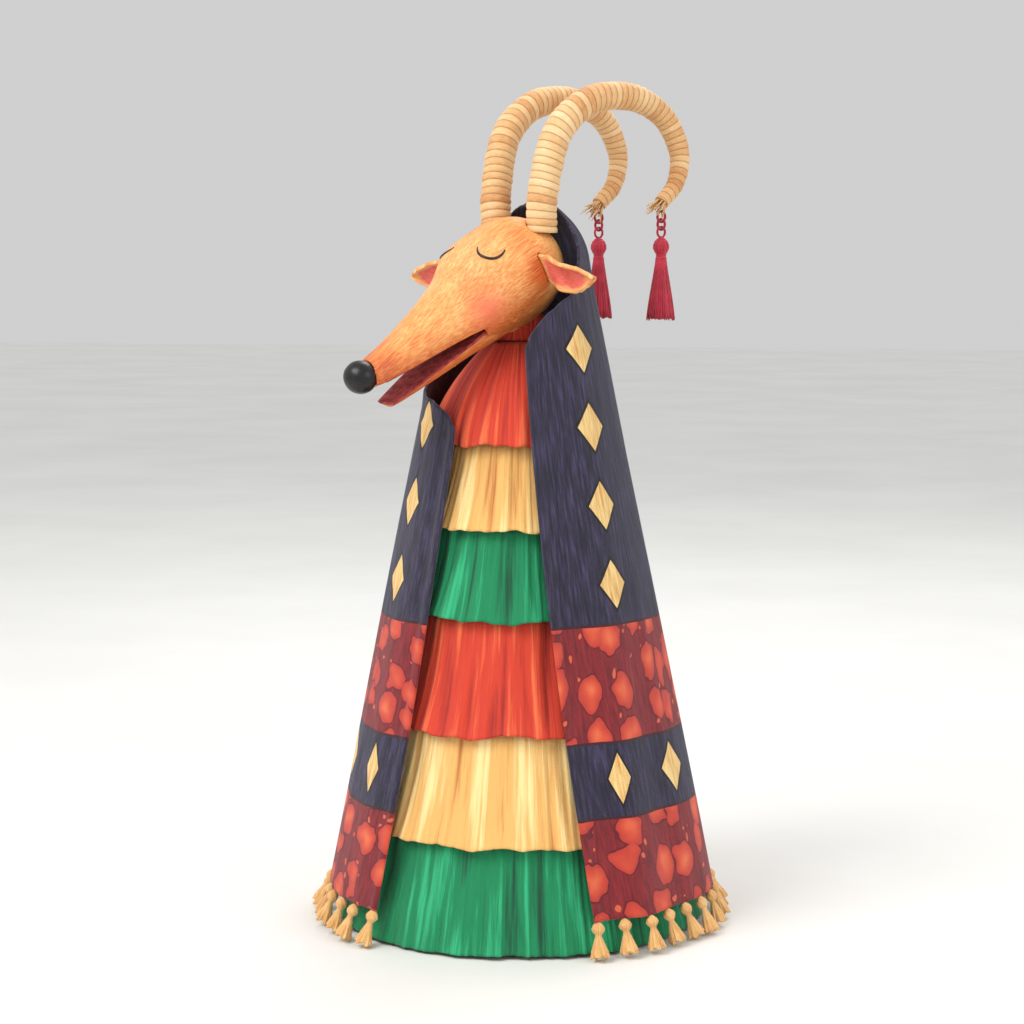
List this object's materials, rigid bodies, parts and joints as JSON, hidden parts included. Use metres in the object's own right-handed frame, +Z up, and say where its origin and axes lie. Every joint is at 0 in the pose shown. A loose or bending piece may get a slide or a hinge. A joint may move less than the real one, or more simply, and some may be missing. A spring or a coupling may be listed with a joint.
{
  "type": "caroling goat figure",
  "caption": "Free-standing folk-craft goat with a carved head and snapping jaw, straw-wound curled horns with tassels, and a tiered cloth body under a fringed shawl.",
  "frame": {"origin": "centre of the base's underside, on the pole's axis", "axes": "+Z up along the pole, -Y out of the open front of the shawl; the head is stored turned 38 degrees to the goat's right"},
  "size_m": [0.2466, 0.2361, 0.4882],
  "materials": {
    "turned_wood": "oiled",
    "willow": "raw",
    "screw_steel": "plain",
    "carved_wood": "stained, waxed",
    "mouth_cloth": "felt",
    "nose_black": "black lacquer",
    "pin_wire": "plain",
    "ear_leather": "soft, pink inside",
    "straw": "wound rye straw",
    "ring_brass": "bound with red thread",
    "tassel_thread": "cotton thread",
    "fringe_yarn": "knotted wool",
    "shawl_weave": "woven wool, banded",
    "red_gauze": "crinkled gauze",
    "cream_gauze": "crinkled gauze",
    "green_gauze": "crinkled gauze"
  },
  "bodies": {
    "stand": {"base_disc": "turned_wood", "base_screw": "screw_steel", "pole": "turned_wood", "shoulder_block": "turned_wood", "neck_washer": "turned_wood", "rib_lath_1": "willow", "rib_lath_2": "willow", "rib_lath_3": "willow", "rib_lath_4": "willow", "rib_lath_5": "willow", "rib_lath_6": "willow", "hoop_2": "willow", "hoop_3": "willow", "hoop_4": "willow", "hoop_5": "willow", "hoop_6": "willow", "tier_1_red": "red_gauze", "tier_2_cream": "cream_gauze", "tier_3_green": "green_gauze", "tier_4_red": "red_gauze", "tier_5_cream": "cream_gauze", "tier_6_green": "green_gauze", "shawl_cape": "shawl_weave", "shawl_fringe": "fringe_yarn"},
    "head": {"head_block": "carved_wood", "palate_lining": "mouth_cloth", "nose": "nose_black", "jaw_pin": "pin_wire", "shawl_hood": "shawl_weave", "left_horn": "straw", "left_horn_core": "pin_wire", "left_ear": "ear_leather", "left_horn_eye": "ring_brass", "right_horn": "straw", "right_horn_core": "pin_wire", "right_ear": "ear_leather", "right_horn_eye": "ring_brass"},
    "jaw": {"lower_jaw": "carved_wood", "jaw_lining": "mouth_cloth"},
    "left_ring": {"left_tassel_ring": "ring_brass"},
    "left_tassel": {"left_tassel": "tassel_thread"},
    "right_ring": {"right_tassel_ring": "ring_brass"},
    "right_tassel": {"right_tassel": "tassel_thread"}
  },
  "joints": [
    {"name": "head_turn", "type": "hinge", "parent": "stand", "child": "head", "pos_m": [0, 0, 0.335], "axis": [0, 0, 1], "range_deg": [-7, 83]},
    {"name": "jaw_hinge", "type": "hinge", "parent": "head", "child": "jaw", "pos_m": [-0.01508, -0.0193, 0.35158], "axis": [0.788, -0.6157, 0], "range_deg": [-7.5, 12]},
    {"name": "left_ring_swing", "type": "hinge", "parent": "head", "child": "left_ring", "pos_m": [0.07477, 0.05072, 0.4076], "axis": [-0.6157, -0.788, 0], "range_deg": [-35, 35]},
    {"name": "left_tassel_swing", "type": "hinge", "parent": "left_ring", "child": "left_tassel", "pos_m": [0.07477, 0.05072, 0.4031], "axis": [0.788, -0.6157, 0], "range_deg": [-35, 35]},
    {"name": "right_ring_swing", "type": "hinge", "parent": "head", "child": "right_ring", "pos_m": [0.03112, 0.08482, 0.4076], "axis": [-0.6157, -0.788, 0], "range_deg": [-35, 35]},
    {"name": "right_tassel_swing", "type": "hinge", "parent": "right_ring", "child": "right_tassel", "pos_m": [0.03112, 0.08482, 0.4031], "axis": [0.788, -0.6157, 0], "range_deg": [-35, 35]}
  ]
}
